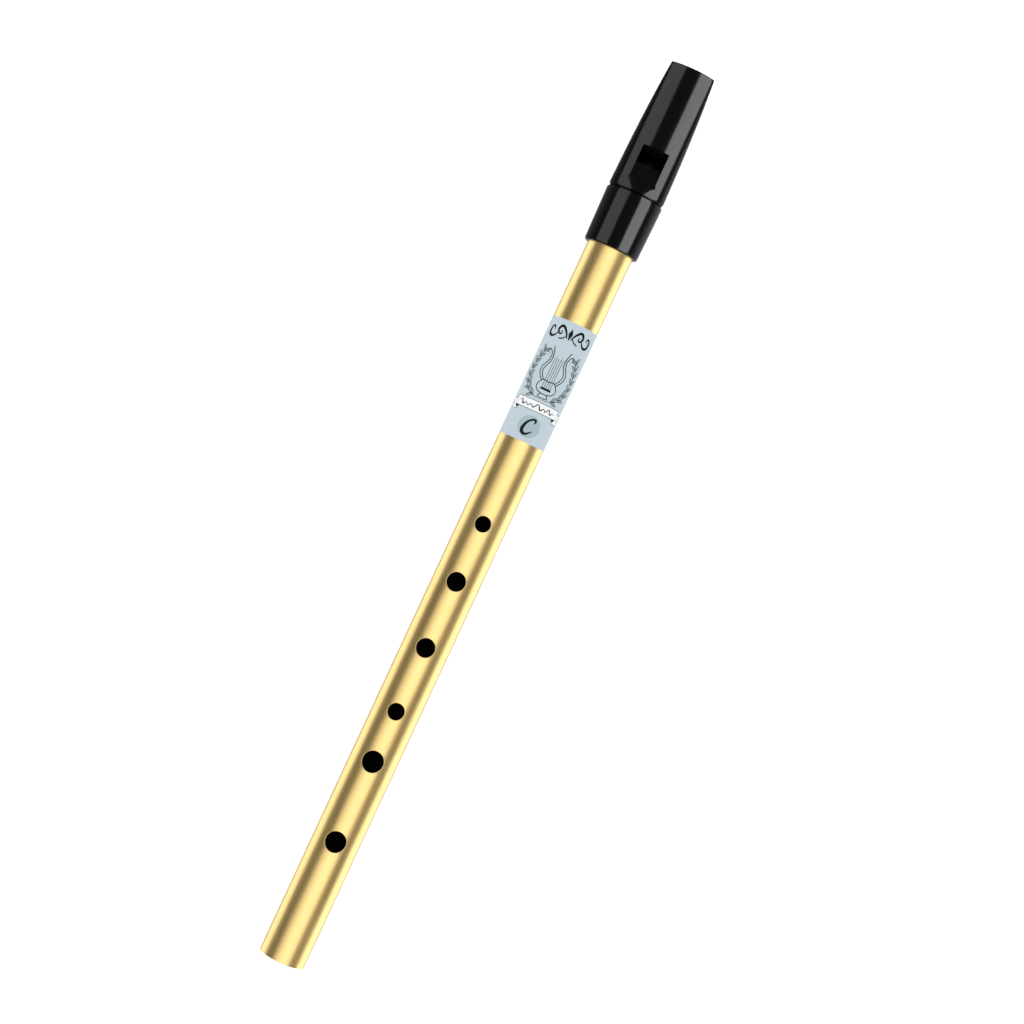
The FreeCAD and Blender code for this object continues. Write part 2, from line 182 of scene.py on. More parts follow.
def finish_piece(name, bm, material, body, slot, *nodes):
    """Make an object of a finished bmesh, riding on a body and standing for CAD nodes."""
    mesh = bpy.data.meshes.new(name)
    bm.to_mesh(mesh)
    bm.free()
    mesh.shade_smooth()
    mesh.set_sharp_from_angle(angle=corner_angle)
    mesh.materials.append(material)
    piece = bpy.data.objects.new(name, mesh)
    bpy.context.scene.collection.objects.link(piece)
    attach(piece, body)
    if nodes:
        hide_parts(*nodes)
    return piece


tube_mesh = bmesh.new()
stops = [0.0, (tube_high.x - foot_x) / MM]
row = 2 * hole_patch / MM / hole_rows
for position, _ in tone_holes:
    stops += [position - hole_patch / MM + row * step for step in range(hole_rows + 1)]
stops.sort()
for begin, end in list(zip(stops, stops[1:])):
    parts = math.ceil((end - begin) / longest_row)
    stops += [begin + (end - begin) * part / parts for part in range(1, parts)]
skin(tube_mesh, [
    circle_round_axis(tube_mesh, stop * MM, tube_radius, tube_columns) for stop in sorted(stops)
])
for position, diameter in tone_holes:
    punch(tube_mesh, foot_x + position * MM, diameter * MM)
for vert in tube_mesh.verts:
    out = Vector((vert.co.y, vert.co.z - axis_z)).normalized() * tube_radius
    vert.co.y, vert.co.z = out.x, axis_z + out.y
bmesh.ops.recalc_face_normals(tube_mesh, faces=tube_mesh.faces)

# Lacquered drawn brass: a warm, slightly soft mirror, cloudier where it has been handled,
# with die lines about 0.25 mm apart that stretch its reflections along the tube.
brass, tree, shader = new_finish("lacquered_drawn_brass", Metallic=1.0)
place = add_node(tree, "ShaderNodeTexCoord", {}).outputs["Object"]
die_line = 0.25 * MM
stretched = add_node(
    tree, "ShaderNodeMapping",
    {"Vector": place, "Scale": (0.012 / die_line, 1 / die_line, 1 / die_line)},
).outputs["Vector"]
lines = add_node(
    tree, "ShaderNodeTexNoise", {"Vector": stretched, "Scale": 1.0, "Detail": 3.0}
).outputs[0]
cloud_size = 14 * MM
clouds = add_node(
    tree, "ShaderNodeTexNoise", {"Vector": place, "Scale": 1 / cloud_size, "Detail": 4.0}
).outputs[0]
tint = add_node(
    tree, "ShaderNodeMix",
    {"Factor": clouds, 6: linear("#FADB93"), 7: linear("#F6D48B")},
    {"data_type": "RGBA"},
).outputs[2]
softness = add_node(
    tree, "ShaderNodeMapRange",
    {"Value": lines, "From Min": 0.3, "From Max": 0.7, "To Min": 0.31, "To Max": 0.4},
).outputs[0]
relief = add_node(
    tree, "ShaderNodeBump", {"Height": lines, "Strength": 0.05, "Distance": 0.01 * MM}
).outputs[0]
tree.links.new(tint, shader.inputs["Base Color"])
tree.links.new(softness, shader.inputs["Roughness"])
tree.links.new(relief, shader.inputs["Normal"])

# Bare brass in the bore, never lacquered: painted near black as painted shade for the dark seen down
# the tone holes, in 3 mm blotches.
bore, tree, shader = new_finish("bore_painted_shade", Roughness=0.75, Specular_IOR_Level=0.1)
place = add_node(tree, "ShaderNodeTexCoord", {}).outputs["Object"]
blotch_size = 3 * MM
blotches = add_node(
    tree, "ShaderNodeTexNoise", {"Vector": place, "Scale": 1 / blotch_size, "Detail": 4.0}
).outputs[0]
# Painted shade: the bore's near-black colour stands for the dark inside the tube, varied by the
# blotches.
painted_bore_shade = add_node(
    tree, "ShaderNodeMix",
    {"Factor": blotches, 6: linear("#070503"), 7: linear("#120C06")},
    {"data_type": "RGBA"},
).outputs[2]
tree.links.new(painted_bore_shade, shader.inputs["Base Color"])

tube = finish_piece("brass_tube", tube_mesh, brass, "tube_body", "brass", "tube")
# The solidified inner wall takes this painted shade.
tube.data.materials.append(bore)
wall = tube.modifiers.new("drawn wall", "SOLIDIFY")
wall.thickness = tube_wall
wall.offset = -1
wall.material_offset = 1
soft_rims = tube.modifiers.new("soft rims", "BEVEL")
soft_rims.limit_method = "ANGLE"
soft_rims.angle_limit = corner_angle
soft_rims.width = rim_softness
soft_rims.segments = 3
soft_rims.harden_normals = True

# ------------------------------------------------------------------ label
# A strip of satin vinyl film wrapped once round the tube, its ends nearly meeting at the back.
# It is cut straight across, so both of its edges show as plain circles.

film_low, film_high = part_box("label")
film_radius = film_high.z - axis_z
film_thickness = film_radius - tube_radius
film_gap = math.radians(12)           # left between its ends at the back
film_steps = 116
film_cut_edge = 0.03 * MM

film_mesh = bmesh.new()
ends = [film_mesh.verts.new((x, 0, axis_z - film_radius)) for x in (film_low.x, film_high.x)]
cut_end = film_mesh.edges.new(ends)
centre = Vector((0, 0, axis_z))
bmesh.ops.rotate(
    film_mesh, verts=ends, cent=centre, matrix=Matrix.Rotation(film_gap / 2, 3, "X")
)
bmesh.ops.spin(
    film_mesh,
    geom=ends + [cut_end],
    cent=centre,
    axis=(1, 0, 0),
    angle=2 * math.pi - film_gap,
    steps=film_steps,
)
bmesh.ops.recalc_face_normals(film_mesh, faces=film_mesh.faces)
if any(face.normal.dot(face.calc_center_median() - centre) < 0 for face in film_mesh.faces):
    bmesh.ops.reverse_faces(film_mesh, faces=film_mesh.faces)

# Satin vinyl: even pale blue, broken only by a very fine emboss of about 0.4 mm.
film, tree, shader = new_finish("satin_vinyl_film", IOR=1.46, Specular_IOR_Level=0.2)
place = add_node(tree, "ShaderNodeTexCoord", {}).outputs["Object"]
emboss_size = 0.4 * MM
emboss = add_node(
    tree, "ShaderNodeTexNoise", {"Vector": place, "Scale": 1 / emboss_size, "Detail": 2.0}
).outputs[0]
shade = add_node(
    tree, "ShaderNodeMix",
    {"Factor": emboss, 6: linear("#BFCFD7"), 7: linear("#C9D7DE")},
    {"data_type": "RGBA"},
).outputs[2]
softness = add_node(
    tree, "ShaderNodeMapRange", {"Value": emboss, "To Min": 0.44, "To Max": 0.56}
).outputs[0]
relief = add_node(
    tree, "ShaderNodeBump", {"Height": emboss, "Strength": 0.08, "Distance": 0.02 * MM}
).outputs[0]
tree.links.new(shade, shader.inputs["Base Color"])
tree.links.new(softness, shader.inputs["Roughness"])
tree.links.new(relief, shader.inputs["Normal"])

label = finish_piece("vinyl_label", film_mesh, film, "tube_body", "label_film", "label")
caliper = label.modifiers.new("film", "SOLIDIFY")
caliper.thickness = film_thickness
caliper.offset = -1
cut_edges = label.modifiers.new("cut edges", "BEVEL")
cut_edges.limit_method = "ANGLE"
cut_edges.width = film_cut_edge
cut_edges.segments = 2
cut_edges.harden_normals = True

# ------------------------------------------------------------------ printing on the label
# Screen-printed ink on the film: a scroll ornament, a lyre between laurel branches, a ribbon
# with a pen flourish, and the key letter in a disc. Each is drawn flat in millimetres, across
# from the middle of the front and along from the foot, and then wrapped on.

ink_height = 0.02 * MM
artwork_foot = 195.4                  # where the drawings' own measure has the label's lower edge
slice_width = 0.6                     # a flat patch is cut this fine, so that it can be bent
weld_distance = 1e-5                  # millimetres between points that a pen stroke shares
leaf_length, leaf_line = 2.7, 0.2


def wrap(bm, lift):
    """Bend a flat drawing in millimetres round the film, a little proud of it."""
    for vert in bm.verts:
        across, along, up = vert.co * MM
        turned = across / film_radius
        reach = film_radius + up + lift * ink_height
        along += film_low.x - artwork_foot * MM
        vert.co = (along, -reach * math.sin(turned), axis_z + reach * math.cos(turned))


def add_strokes(bm, lines, width):
    """Pen strokes through points (across, along) or (across, along, swelling)."""
    curve = bpy.data.curves.new("pen", "CURVE")
    curve.dimensions = "3D"
    curve.bevel_depth = width / 2
    curve.bevel_resolution = 1
    curve.use_fill_caps = True
    curve.resolution_u = 6
    for points in lines:
        spline = curve.splines.new("NURBS")
        spline.points.add(len(points) - 1)
        for point, (across, along, *swelling) in zip(spline.points, points):
            point.co = (across, along, 0, 1)
            point.radius = swelling[0] if swelling else 1.0
        spline.order_u = 3
        spline.use_endpoint_u = True
    pen = bpy.data.objects.new("pen", curve)
    drawn = bpy.data.meshes.new_from_object(pen)
    drawn.transform(Matrix.Diagonal((1, 1, 2 * ink_height / MM / width, 1)))
    welded = bmesh.new()
    welded.from_mesh(drawn)
    bmesh.ops.remove_doubles(welded, verts=welded.verts, dist=weld_distance)
    welded.to_mesh(drawn)
    welded.free()
    bm.from_mesh(drawn)
    bpy.data.objects.remove(pen)
    bpy.data.curves.remove(curve)
    bpy.data.meshes.remove(drawn)


def add_patch(bm, points, thickness=ink_height / MM):
    """A flat patch of ink with straight sides, sliced so that it can be wrapped."""
    patch = bmesh.new()
    outline = [patch.verts.new((across, along, 0)) for across, along in points]
    face = patch.faces.new(outline)
    made = bmesh.ops.extrude_face_region(patch, geom=[face])["geom"]
    raised = [item for item in made if isinstance(item, bmesh.types.BMVert)]
    bmesh.ops.translate(patch, verts=raised, vec=(0, 0, thickness))
    bmesh.ops.recalc_face_normals(patch, faces=patch.faces)
    left = min(across for across, _ in points)
    right = max(across for across, _ in points)
    for cut in range(1, math.ceil((right - left) / slice_width)):
        bmesh.ops.bisect_plane(
            patch,
            geom=list(patch.verts) + list(patch.edges) + list(patch.faces),
            plane_co=(left + cut * slice_width, 0, 0),
            plane_no=(1, 0, 0),
        )
    made = bpy.data.meshes.new("patch")
    patch.to_mesh(made)
    patch.free()
    bm.from_mesh(made)
    bpy.data.meshes.remove(made)


def both_sides(lines):
    """The same strokes on the right and mirrored on the left."""
    return list(lines) + [[(-across, *rest) for across, *rest in points] for points in lines]


def add_leaf(fill, outline, across, along, heading):
    """One pointed laurel leaf, tinted inside and drawn round its edge."""
    turn = Matrix.Rotation(heading, 2)
    side = [
        (share * leaf_length, 0.17 * leaf_length * math.sin(math.pi * share) ** 0.8)
        for share in (0.02, 0.2, 0.4, 0.6, 0.8, 0.98)
    ]
    ring = side + [(x, -y) for x, y in reversed(side)]
    ring = [tuple(turn @ Vector(point) + Vector((across, along))) for point in ring]
    add_patch(fill, ring)
    add_strokes(outline, [ring + ring[:1]], leaf_line)


ink = bmesh.new()
scrolls = [
    [
        (0.7, 233.4, 0.5), (1.5, 235.4, 1.1), (3.6, 237.6, 1.5), (5.0, 235.6, 1.2),
        (3.9, 233.9, 0.9), (2.9, 234.6, 0.7), (3.4, 235.5, 0.5),
    ],
    [
        (4.6, 234.4, 0.5), (5.6, 232.4, 1.2), (8.1, 233.0, 1.5),
        (7.9, 236.2, 1.1), (6.3, 236.3, 0.8), (6.4, 235.0, 0.5),
    ],
    [(1.1, 234.2, 0.4), (2.2, 232.5, 1.0), (3.6, 232.6, 0.5)],
]
add_strokes(ink, both_sides(scrolls), 0.66)
add_patch(ink, [(0, 237.3), (0.8, 235.3), (0, 232.7), (-0.8, 235.3)])

arm = [
    (2.7, 217.2), (4.3, 218.6), (4.9, 221.6), (3.1, 224.2),
    (2.9, 227.0), (4.6, 228.8), (5.3, 227.2), (4.4, 226.9),
]
inner_arm = [(2.1, 217.6), (3.4, 219.0), (3.9, 221.4), (2.3, 224.0), (2.2, 227.2), (3.4, 229.6)]
bowl = [(0, 212.9), (2.4, 213.0), (3.9, 215.0), (2.7, 217.2), (1.6, 217.9), (0, 217.3)]
foot_of_lyre = [(-0.1, 211.4), (2.0, 211.4), (1.4, 212.6), (0.8, 213.0)]
add_strokes(ink, both_sides([arm, inner_arm, bowl, foot_of_lyre]), 0.32)
add_strokes(ink, [[(-4.1, 226.0), (4.1, 226.0)], [(-4.1, 226.7), (4.1, 226.7)]], 0.24)
for string in (-1.5, -0.75, 0, 0.75, 1.5):
    add_strokes(ink, [[(string, 214.9), (string, 220.5), (string, 226.0)]], 0.18)
add_patch(ink, [(-2.0, 214.3), (2.0, 214.3), (1.7, 215.1), (-1.7, 215.1)])

tint = bmesh.new()
branch = [(0.6, 210.9), (5.2, 211.4), (8.2, 215.4), (8.6, 220.6), (7.2, 225.2), (5.9, 228.2)]
add_strokes(ink, both_sides([branch]), 0.3)
leaf_places = (                       # across, along, and the way that the branch runs there
    (3.4, 211.6, 0.25), (5.6, 213.0, 0.65), (7.0, 214.8, 1.0), (7.9, 217.1, 1.3),
    (8.3, 219.6, 1.55), (8.1, 222.1, 1.75), (7.5, 224.4, 1.9), (6.7, 226.6, 2.0),
)
for across, along, heading in leaf_places:
    for lean in (0.6, -0.6):
        add_leaf(tint, ink, across, along, heading + lean)
        add_leaf(tint, ink, -across, along, math.pi - heading - lean)

ribbon = [(-8.7, 206.5), (8.7, 206.5), (8.7, 209.9), (-8.7, 209.9)]
tail = [
    (7.4, 205.0), (11.2, 205.0), (9.9, 206.7), (11.2, 208.5), (8.7, 208.5), (8.7, 206.5), (7.4, 206.5),
]
fold = [(6.6, 206.5), (8.7, 206.5), (7.4, 205.3)]
fold_height = 1.2 * ink_height / MM
white = bmesh.new()
add_patch(white, ribbon)
for shape in both_sides([tail]):
    add_patch(white, shape)
for shape in both_sides([fold]):
    add_patch(ink, shape, fold_height)


def add_outline(bm, points, width):
    """A pen line round a patch, one straight stroke to a side."""
    for begin, end in zip(points, points[1:] + points[:1]):
        parts = max(1, round(math.dist(begin, end) / slice_width))
        steps = [Vector(begin).lerp(Vector(end), part / parts) for part in range(parts + 1)]
        add_strokes(bm, [[tuple(step) for step in steps]], width)


add_outline(ink, ribbon, 0.2)
for shape in both_sides([tail]):
    add_outline(ink, shape, 0.17)
flourish = [
    (-7.4, 208.0, 0.4), (-6.2, 209.6, 1.0), (-5.6, 207.0, 1.4), (-4.4, 208.6, 0.7),
    (-3.5, 207.2, 1.0), (-2.4, 208.7, 0.7), (-1.4, 207.0, 1.2), (0.2, 209.7, 0.8),
    (1.2, 206.9, 1.4), (2.4, 208.7, 0.7), (3.2, 207.2, 1.1), (4.4, 209.4, 0.8),
    (5.2, 207.0, 1.3), (6.3, 208.5, 0.7), (7.5, 207.6, 0.4),
]
add_strokes(ink, [flourish], 0.5)

disc = bmesh.new()
disc_radius = 3.95
key_place = (0.2, 200.9)
rim_points = [
    (key_place[0] + disc_radius * math.cos(turn), key_place[1] + disc_radius * math.sin(turn))
    for turn in (math.radians(6 * step) for step in range(60))
]
add_patch(disc, rim_points)

key = bmesh.new()
brush = [
    (1.25, 1.5, 0.5), (1.75, 2.3, 1.0), (1.1, 3.1, 1.1), (-0.6, 2.2, 0.9), (-1.8, 0.2, 1.4),
    (-2.1, -2.0, 1.7), (-0.9, -3.1, 1.4), (0.6, -2.4, 0.9), (1.6, -1.2, 0.5),
]
letter = [(key_place[0] + x, key_place[1] + y, swelling) for x, y, swelling in brush]
add_strokes(key, [letter], 0.8)

# Screen inks: solvent ink dries satin, with a faint mottle at the pitch of a 0.1 mm mesh.
inks = (                              # the drawing, its lift in ink heights, its darkest and palest
    ("printed_black", ink, 0.0, "#05080B", "#0D1216"),
    ("printed_grey_leaves", tint, -0.4, "#8E9CA3", "#9CA9AF"),
    ("printed_white_ribbon", white, -0.4, "#F3F6F8", "#FDFEFE"),
    ("printed_disc", disc, -0.4, "#A5BCC1", "#ADC3C8"),
    ("printed_key_letter", key, 0.4, "#03080B", "#0B1418"),
)
mesh_pitch = 0.1 * MM
for name, drawing, lift, dark, light in inks:
    wrap(drawing, lift)
    colour, tree, shader = new_finish(name + "_ink", IOR=1.48, Specular_IOR_Level=0.15)
    place = add_node(tree, "ShaderNodeTexCoord", {}).outputs["Object"]
    mottle = add_node(
        tree, "ShaderNodeTexNoise", {"Vector": place, "Scale": 0.25 / mesh_pitch, "Detail": 2.0}
    ).outputs[0]
    shade = add_node(
        tree, "ShaderNodeMix",
        {"Factor": mottle, 6: linear(dark), 7: linear(light)},
        {"data_type": "RGBA"},
    ).outputs[2]
    softness = add_node(
        tree, "ShaderNodeMapRange", {"Value": mottle, "To Min": 0.4, "To Max": 0.6}
    ).outputs[0]
    tree.links.new(shade, shader.inputs["Base Color"])
    tree.links.new(softness, shader.inputs["Roughness"])
    finish_piece(name, drawing, colour, "tube_body", "label_film")

# ------------------------------------------------------------------ mouthpiece shell
# Injection-moulded gloss black ABS. A round collar slides on the tube, and above a V groove the
# beak grows out of it, with a flattened crown and an underside that sweeps up to the tip.
# The window, the ramp with its sharp blade, and the windway are moulded in.

shell_columns = 96
crown_radius, crown_half, crown_level = 12.5, 7.6, 9.6
beak_stations = (289.0, 302.0, 318.0, 335.0)
beak_sections = (                     # half width, bottom level and underside's radius at each
    (10.1, -9.9, 9.0), (9.8, -9.3, 8.6), (9.15, -4.7, 12.0), (8.0, 0.6, 13.0),
)
collar_start, collar_radius, collar_top_radius, collar_round = 268.2, 9.85, 10.25, 0.8
groove_place, groove_half, groove_depth = 288.6, 0.5, 0.55
root_start, root_round, root_inset = 288.72, 1.2, 0.6
tip_round = 0.35
collar_rows, beak_rows, round_steps, root_steps, tip_steps = 10, 34, 6, 8, 5


def outline_point(facing, width, bottom, base):
    """The point of one beak section where its outline faces a given way, in millimetres."""
    sine = crown_half / crown_radius
    cosine = math.sqrt(1 - sine * sine)
    shoulder = (width - crown_half) / (1 - sine)
    widest = crown_level - crown_radius + (crown_radius - shoulder) * cosine
    rise = bottom + base - widest
    cheek = (base**2 - width**2 - rise**2) / (2 * (base - width))
    turn_under = math.sin(math.atan2(-abs(rise), abs(width - cheek)))
    if facing.y >= cosine:
        centre, radius = Vector((0, crown_level - crown_radius)), crown_radius
    elif facing.y >= 0:
        centre, radius = Vector((width - shoulder, widest)), shoulder
    elif facing.y >= turn_under:
        centre, radius = Vector((width - cheek, widest)), cheek
    else:
        centre, radius = Vector((0, bottom + base)), base
    if facing.x < 0:
        centre.x = -centre.x
    return centre + facing * radius


def beak_ring(bm, x, inset=0.0):
    """A ring across the beak, on a smooth surface through its four sections."""
    weights = [
        math.prod((x - other) / (place - other) for other in beak_stations if other != place)
        for place in beak_stations
    ]
    ring = circle_round_axis(bm, x * MM, tube_radius, shell_columns)
    for vert in ring:
        facing = Vector((vert.co.y, vert.co.z - axis_z)).normalized()
        out = -inset * facing
        for weight, section in zip(weights, beak_sections):
            out += weight * outline_point(facing, *section)
        vert.co.y, vert.co.z = out.x * MM, axis_z + out.y * MM
    return ring


shell_mesh = bmesh.new()
profile = []                          # the collar's rings: place along, and radius
for step in range(round_steps + 1):
    turn = math.pi / 2 * step / round_steps
    reach = collar_radius - collar_round * (1 - math.sin(turn))
    profile.append((collar_start + collar_round * (1 - math.cos(turn)), reach))
straight_start = collar_start + collar_round
straight_end = groove_place - groove_half - 0.2
for step in range(1, collar_rows + 1):
    share = step / collar_rows
    profile.append((
        straight_start + (straight_end - straight_start) * share,
        collar_radius + (collar_top_radius - collar_radius) * share,
    ))
profile += [                          # the V groove, its lip a little rounded
    (groove_place - groove_half - 0.06, collar_top_radius - 0.05),
    (groove_place - groove_half + 0.02, collar_top_radius - 0.17),
    (groove_place - 0.08, collar_top_radius - groove_depth),
]
rings = [circle_round_axis(shell_mesh, x * MM, reach * MM, shell_columns) for x, reach in profile]
for step in range(1, root_steps + 1):
    turn = math.pi / 2 * step / root_steps
    inset = root_inset * (1 - math.sin(turn))
    rings.append(beak_ring(shell_mesh, root_start + root_round * (1 - math.cos(turn)), inset))
beak_end = beak_stations[-1] - tip_round
root_end = root_start + root_round
for step in range(1, beak_rows + 1):
    rings.append(beak_ring(shell_mesh, root_end + (beak_end - root_end) * step / beak_rows))
for step in range(1, tip_steps + 1):
    turn = math.pi / 2 * step / tip_steps
    inset = tip_round * (1 - math.cos(turn))
    rings.append(beak_ring(shell_mesh, beak_end + tip_round * math.sin(turn), inset))
skin(shell_mesh, rings)
bmesh.ops.contextual_create(shell_mesh, geom=edges_of(rings[0]))
bmesh.ops.contextual_create(shell_mesh, geom=edges_of(rings[-1]))
bmesh.ops.recalc_face_normals(shell_mesh, faces=shell_mesh.faces)


def level_ring(bm, x, radius, level, roof):
    """A ring across the whistle, cut off level at a roof."""
    ring = circle_round_axis(bm, x * MM, radius * MM, shell_columns, level * MM)
    for vert in ring:
        vert.co.z = min(vert.co.z, axis_z + roof * MM)
    return ring


def box_ring(bm, x, half_width, floor, roof):
    """A rectangle across the whistle."""
    corners = ((half_width, floor), (half_width, roof), (-half_width, roof), (-half_width, floor))
    ring = [bm.verts.new((foot_x + x * MM, y * MM, axis_z + z * MM)) for y, z in corners]
    for begin, end in zip(ring, ring[1:] + ring[:1]):
        bm.edges.new((begin, end))
    return ring


cores = bpy.data.collections.new("core_pins")
bpy.context.scene.collection.children.link(cores)


def core_pin(bm, rings):
    """Close a row of rings into the solid core that leaves a hollow in the moulding."""
    skin(bm, rings)
    bmesh.ops.contextual_create(bm, geom=edges_of(rings[0]))
    bmesh.ops.contextual_create(bm, geom=edges_of(rings[-1]))
    bmesh.ops.recalc_face_normals(bm, faces=bm.faces)
    mesh = bpy.data.meshes.new("core_pin")
    bm.to_mesh(mesh)
    bm.free()
    cores.objects.link(bpy.data.objects.new("core_pin", mesh))


socket_radius, lead_in, socket_stop = 8.35, 0.35, 289.0
chamber_radius, chamber_roof, windway_exit = 7.7, 5.95, 304.9
window_half, blade_place, blade_level = 4.8, 298.9, 6.15
ramp_end, ramp_radius, ramp_steps = 290.2, 33.0, 12
ear, ear_place, ear_length = 0.5, 293.5, 0.9       # how the ramp widens where it meets the crown
exit_floor, exit_roof, tip_floor, tip_roof, tip_windway_half = 5.7, 6.7, 5.6, 7.0, 5.2
block_tip_radius, block_tip_level = 5.7, 8.1
past_tip = 1.02                       # share of the beak that the windway's core runs through
past_ramp = 0.6                       # how far the ramp's core runs out over the collar
clear_above = crown_level + 2
overlap = 0.02                        # of one core into the next, so that no skin is left between


def ramp_level(x):
    """Height of the hollow ramp, an arc from the blade up to the crown."""
    blade, end = Vector((blade_place, blade_level)), Vector((ramp_end, crown_level))
    chord = end - blade
    away = math.sqrt(ramp_radius**2 - (chord.length / 2) ** 2)
    hub = (blade + end) / 2 + Vector((chord.y, -chord.x)).normalized() * away
    return hub.y - math.sqrt(ramp_radius**2 - (x - hub.x) ** 2)


socket = bmesh.new()
core_pin(socket, [
    circle_round_axis(socket, x * MM, radius * MM, shell_columns)
    for x, radius in (
        (collar_start - lead_in, socket_radius + 2 * lead_in),
        (collar_start + lead_in, socket_radius),
        (socket_stop, socket_radius),
    )
])
chamber = bmesh.new()
core_pin(chamber, [
    level_ring(chamber, x, chamber_radius, 0, chamber_roof) for x in (socket_stop - 0.5, windway_exit)
])
core_end = windway_exit + (beak_stations[-1] - windway_exit) * past_tip
seat = bmesh.new()
core_pin(seat, [
    level_ring(seat, windway_exit - overlap / 2, chamber_radius, 0, exit_floor),
    level_ring(
        seat,
        core_end,
        chamber_radius + (block_tip_radius - chamber_radius) * past_tip,
        block_tip_level * past_tip,
        exit_floor + (tip_floor - exit_floor) * past_tip,
    ),
])
windway = bmesh.new()
core_pin(windway, [
    box_ring(windway, windway_exit - overlap, window_half, exit_floor - overlap, exit_roof),
    box_ring(
        windway,
        core_end,
        window_half + (tip_windway_half - window_half) * past_tip,
        exit_floor + (tip_floor - exit_floor) * past_tip - overlap,
        exit_roof + (tip_roof - exit_roof) * past_tip,
    ),
])
window = bmesh.new()
core_pin(window, [
    box_ring(window, x, window_half, exit_floor - 0.3, clear_above) for x in (blade_place, windway_exit)
])
ramp = bmesh.new()
ramp_rings = []
ramp_begin = ramp_end - past_ramp
for step in range(ramp_steps + 1):
    x = ramp_begin + (blade_place + overlap / 2 - ramp_begin) * step / ramp_steps
    flare = ear * min(1.0, max(0.0, (ear_place - x) / ear_length))
    ramp_rings.append(box_ring(ramp, x, window_half + flare, ramp_level(x), clear_above))
core_pin(ramp, ramp_rings)

# Gloss ABS: deep black off a polished mould, with a faint 8 mm waviness and hairline scuffs.
gloss, tree, shader = new_finish("gloss_black_abs", IOR=1.4)
place = add_node(tree, "ShaderNodeTexCoord", {}).outputs["Object"]
wave_size, scuff_width = 8 * MM, 0.15 * MM
waves = add_node(
    tree, "ShaderNodeTexNoise", {"Vector": place, "Scale": 1 / wave_size, "Detail": 3.0}
).outputs[0]
turned = add_node(
    tree, "ShaderNodeMapping",
    {
        "Vector": place,
        "Rotation": (0, 0, 0.5),
        "Scale": (0.03 / scuff_width, 1 / scuff_width, 1 / scuff_width),
    },
).outputs["Vector"]
scuffs = add_node(
    tree, "ShaderNodeTexNoise", {"Vector": turned, "Scale": 1.0, "Detail": 2.0}
).outputs[0]
shade = add_node(
    tree, "ShaderNodeMix",
    {"Factor": waves, 6: linear("#020202"), 7: linear("#040404")},
    {"data_type": "RGBA"},
).outputs[2]
softness = add_node(
    tree, "ShaderNodeMapRange",
    {"Value": scuffs, "From Min": 0.35, "From Max": 0.75, "To Min": 0.1, "To Max": 0.2},
).outputs[0]
relief = add_node(
    tree, "ShaderNodeBump", {"Height": waves, "Strength": 0.12, "Distance": 0.03 * MM}
).outputs[0]
tree.links.new(shade, shader.inputs["Base Color"])
tree.links.new(softness, shader.inputs["Roughness"])
tree.links.new(relief, shader.inputs["Normal"])

shell = finish_piece(
    "mouthpiece_shell_moulding", shell_mesh, gloss,
    "mouthpiece_body", "black_plastic", "mouthpiece_shell",
)
cut = shell.modifiers.new("cores", "BOOLEAN")
cut.operand_type = "COLLECTION"
cut.collection = cores
cut.solver = "EXACT"
bpy.context.view_layer.update()
hollowed = shell.evaluated_get(bpy.context.evaluated_depsgraph_get())
moulded = bpy.data.meshes.new_from_object(hollowed)
shell.modifiers.clear()
for pin in list(cores.objects):
    spare = pin.data
    bpy.data.objects.remove(pin)
    bpy.data.meshes.remove(spare)
bpy.data.collections.remove(cores)
cleaned = bmesh.new()
cleaned.from_mesh(moulded)
bmesh.ops.remove_doubles(cleaned, verts=cleaned.verts, dist=0.002 * MM)
cleaned.to_mesh(shell.data)
cleaned.free()
bpy.data.meshes.remove(moulded)
shell.data.shade_smooth()
shell.data.set_sharp_from_angle(angle=corner_angle)
broken_edges = shell.modifiers.new("broken edges", "BEVEL")
broken_edges.limit_method = "ANGLE"
broken_edges.angle_limit = corner_angle
broken_edges.width = 0.09 * MM
broken_edges.segments = 2
broken_edges.miter_outer = "MITER_ARC"
broken_edges.harden_normals = True

# ------------------------------------------------------------------ fipple block
# A wedge of black ABS pressed into the beak from the tip. Its flat top is the floor of the
# windway, and its end stands flush in the beak's edge, with a hairline joint round it.

joint_line = 0.12                     # a small chamfer round the block's end
block_fit = 0.01                      # what the block is smaller by than its seat
hollow_mouth = (windway_exit + block_fit, 6.2, 0, 4.4)      # place, radius, its level, roof
hollow_end = (320.0, 3.6, 2.0, 4.3)

block_mesh = bmesh.new()
block_tip = beak_stations[-1]
block_rings = [
    level_ring(block_mesh, x, radius, level, roof)
    for x, radius, level, roof in (
        (windway_exit + block_fit, chamber_radius - block_fit, 0, exit_floor),
        (block_tip - joint_line, block_tip_radius - block_fit, block_tip_level, tip_floor),
        (block_tip - 0.02, block_tip_radius - joint_line, block_tip_level, tip_floor - 0.08),
    )
]
skin(block_mesh, block_rings)
hollow_rings = [level_ring(block_mesh, *section) for section in (hollow_mouth, hollow_end)]
skin(block_mesh, hollow_rings)
rim = list(zip(block_rings[0], hollow_rings[0]))
for (outer, inner), (next_outer, next_inner) in zip(rim, rim[1:] + rim[:1]):
    block_mesh.faces.new((outer, next_outer, next_inner, inner))
bmesh.ops.contextual_create(block_mesh, geom=edges_of(block_rings[-1]))
bmesh.ops.contextual_create(block_mesh, geom=edges_of(hollow_rings[-1]))
bmesh.ops.recalc_face_normals(block_mesh, faces=block_mesh.faces)
if block_mesh.calc_volume(signed=True) < 0:
    bmesh.ops.reverse_faces(block_mesh, faces=block_mesh.faces)

